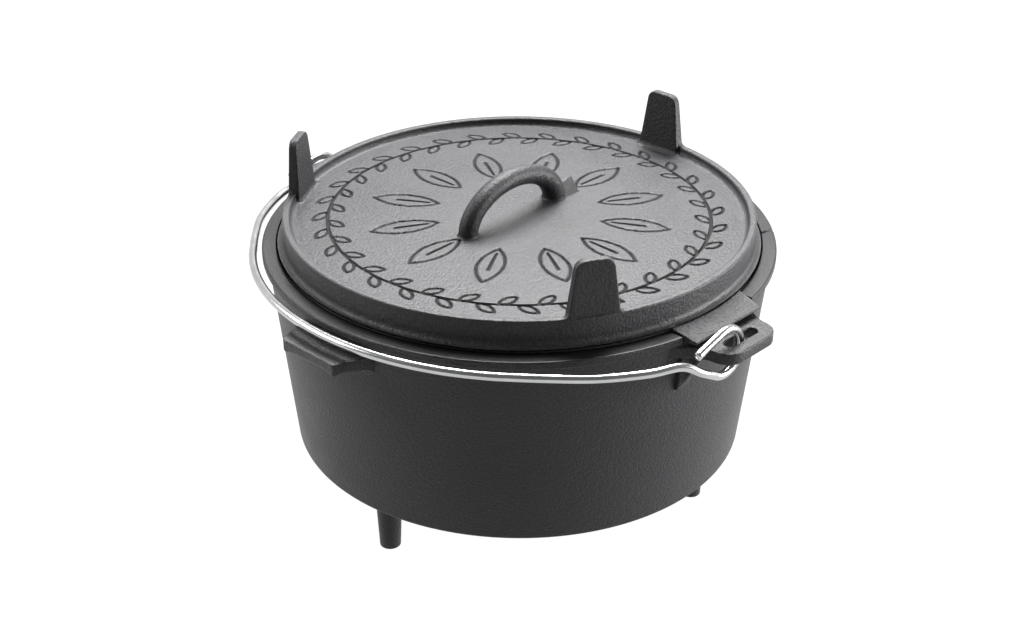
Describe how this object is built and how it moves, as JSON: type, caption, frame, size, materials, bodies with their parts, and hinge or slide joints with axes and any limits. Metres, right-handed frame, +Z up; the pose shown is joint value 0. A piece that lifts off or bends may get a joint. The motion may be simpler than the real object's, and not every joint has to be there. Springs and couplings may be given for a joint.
{
  "type": "camp cooking pot",
  "caption": "Cast-iron camp cooking pot on short feet, with a keyed flat lid that carries legs and a loop handle, and a hooked wire bail.",
  "frame": {"origin": "on the pot's axis, in the plane that its feet stand on", "axes": "+Z up along the pot's axis, +X through the two bail ears, +Y towards the lug opposite the stored bail"},
  "size_m": [0.352, 0.334, 0.2193],
  "materials": {
    "cast_iron": "fine pebbled casting with a baked-on, satin black seasoning",
    "plated_wire": "bright zinc-plated drawn steel wire"
  },
  "bodies": {
    "pot": {"pot": "cast_iron"},
    "lid": {"lid": "cast_iron"},
    "bail": {"bail": "plated_wire"}
  },
  "joints": [
    {"name": "bail_swing", "type": "hinge", "parent": "pot", "child": "bail", "pos_m": [0, -0.0146, 0.1585], "axis": [-1, 0, 0], "range_deg": [-2, 153]},
    {"name": "lid_lift", "type": "slide", "parent": "pot", "child": "lid", "axis": [0, 0, 1], "range_m": [0, 0.15]}
  ]
}
